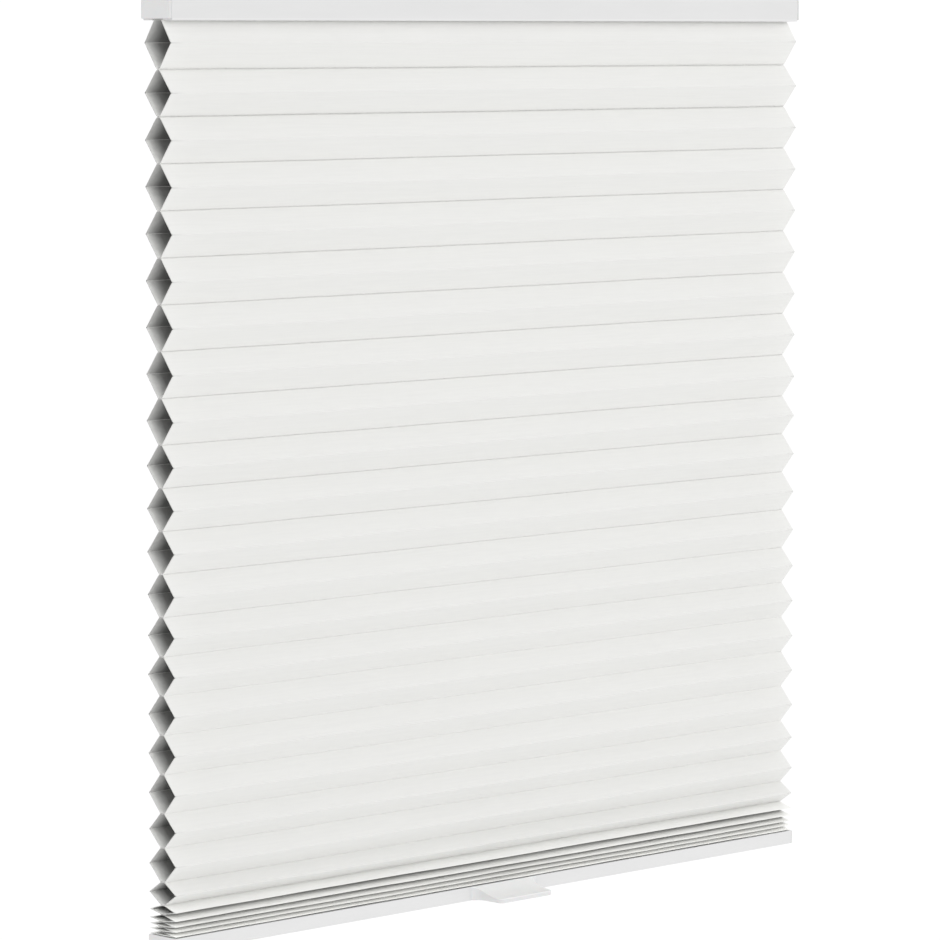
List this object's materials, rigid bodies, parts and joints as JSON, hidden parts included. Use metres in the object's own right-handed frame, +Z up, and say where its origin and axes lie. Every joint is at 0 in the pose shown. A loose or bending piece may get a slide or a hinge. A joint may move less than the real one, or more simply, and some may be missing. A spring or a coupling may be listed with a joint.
{
  "type": "cordless cellular blind",
  "caption": "Cordless cellular window blind with a head rail, honeycomb fabric, bottom rail and pull handle, fully lowered with spare cells stacked on the bottom rail.",
  "frame": {"origin": "centre of the bracket screw holes, on the upper face of the two mounting brackets that meets the lintel", "axes": "+X along the blind's width, -Y towards the room, +Z up"},
  "size_m": [0.7582, 0.0636, 0.7819],
  "materials": {
    "rail_white": "satin",
    "cap_white": "satin",
    "handle_white": "satin",
    "honeycomb_fabric": "matte",
    "cord_white": "matte",
    "strip_plastic": "satin",
    "spring_steel": "polished",
    "zinc_steel": "satin",
    "bar_steel": "satin",
    "motor_plastic": "satin",
    "gear_plastic": "satin",
    "pin_steel": "polished"
  },
  "bodies": {
    "head": {"mounting_bracket_left": "zinc_steel", "mounting_bracket_right": "zinc_steel", "head_rail": "rail_white", "head_cap_left": "cap_white", "head_cap_right": "cap_white", "fabric_top_strip": "strip_plastic", "motor_base": "motor_plastic", "motor_cover": "motor_plastic", "cord_guide_left": "motor_plastic", "cord_guide_right": "motor_plastic", "guide_pin_left": "pin_steel", "guide_pin_right": "pin_steel", "motor_spring": "spring_steel", "fabric": "honeycomb_fabric", "lift_cord_left": "cord_white", "lift_cord_right": "cord_white"},
    "lower_rail": {"bottom_rail": "rail_white", "bottom_cap_left": "cap_white", "bottom_cap_right": "cap_white", "fabric_bottom_strip": "strip_plastic", "weight_bar": "bar_steel", "handle": "handle_white", "cord_washer_left": "strip_plastic", "cord_washer_right": "strip_plastic"},
    "cord_spool_left": {"cord_spool_left": "gear_plastic"},
    "output_drum": {"output_drum": "gear_plastic"},
    "idler_gear": {"idler_gear": "gear_plastic"},
    "storage_drum": {"storage_drum": "gear_plastic"},
    "cord_spool_right": {"cord_spool_right": "gear_plastic"},
    "guide_roller_left": {"guide_roller_left": "gear_plastic"},
    "guide_roller_right": {"guide_roller_right": "gear_plastic"}
  },
  "joints": [
    {"name": "rail_lift", "type": "slide", "parent": "head", "child": "lower_rail", "axis": [0, 0, 1], "range_m": [0, 0.688], "deforming": ["fabric", "lift_cord_left", "lift_cord_right"]},
    {"name": "cord_spool_left_spin", "type": "hinge", "parent": "head", "child": "cord_spool_left", "pos_m": [-0.036, 0, -0.0147], "axis": [0, 0, 1], "range_deg": [0, 4630]},
    {"name": "output_drum_spin", "type": "hinge", "parent": "head", "child": "output_drum", "pos_m": [-0.012, 0, -0.0147], "axis": [0, 0, 1], "range_deg": [-4630, 0]},
    {"name": "idler_gear_spin", "type": "hinge", "parent": "head", "child": "idler_gear", "pos_m": [0.012, 0, -0.018], "axis": [0, 0, 1], "range_deg": [0, 4630]},
    {"name": "storage_drum_spin", "type": "hinge", "parent": "head", "child": "storage_drum", "pos_m": [0.012, 0, -0.012], "axis": [0, 0, 1], "range_deg": [0, 4630]},
    {"name": "cord_spool_right_spin", "type": "hinge", "parent": "head", "child": "cord_spool_right", "pos_m": [0.036, 0, -0.0147], "axis": [0, 0, 1], "range_deg": [-4630, 0]},
    {"name": "guide_roller_left_spin", "type": "hinge", "parent": "head", "child": "guide_roller_left", "pos_m": [-0.24595, -0.00016, -0.01625], "axis": [0.04, 0.9992, 0], "range_deg": [0, 9750]},
    {"name": "guide_roller_right_spin", "type": "hinge", "parent": "head", "child": "guide_roller_right", "pos_m": [0.24595, -0.00016, -0.01625], "axis": [-0.04, 0.9992, 0], "range_deg": [-9750, 0]}
  ],
  "couplings": [
    {"joint": "cord_spool_left_spin", "follows": "rail_lift", "rad_per_m": 116.96},
    {"joint": "output_drum_spin", "follows": "rail_lift", "rad_per_m": -116.96},
    {"joint": "idler_gear_spin", "follows": "rail_lift", "rad_per_m": 116.96},
    {"joint": "storage_drum_spin", "follows": "rail_lift", "rad_per_m": 116.96},
    {"joint": "cord_spool_right_spin", "follows": "rail_lift", "rad_per_m": -116.96},
    {"joint": "guide_roller_left_spin", "follows": "rail_lift", "rad_per_m": 246.91},
    {"joint": "guide_roller_right_spin", "follows": "rail_lift", "rad_per_m": -246.91}
  ]
}
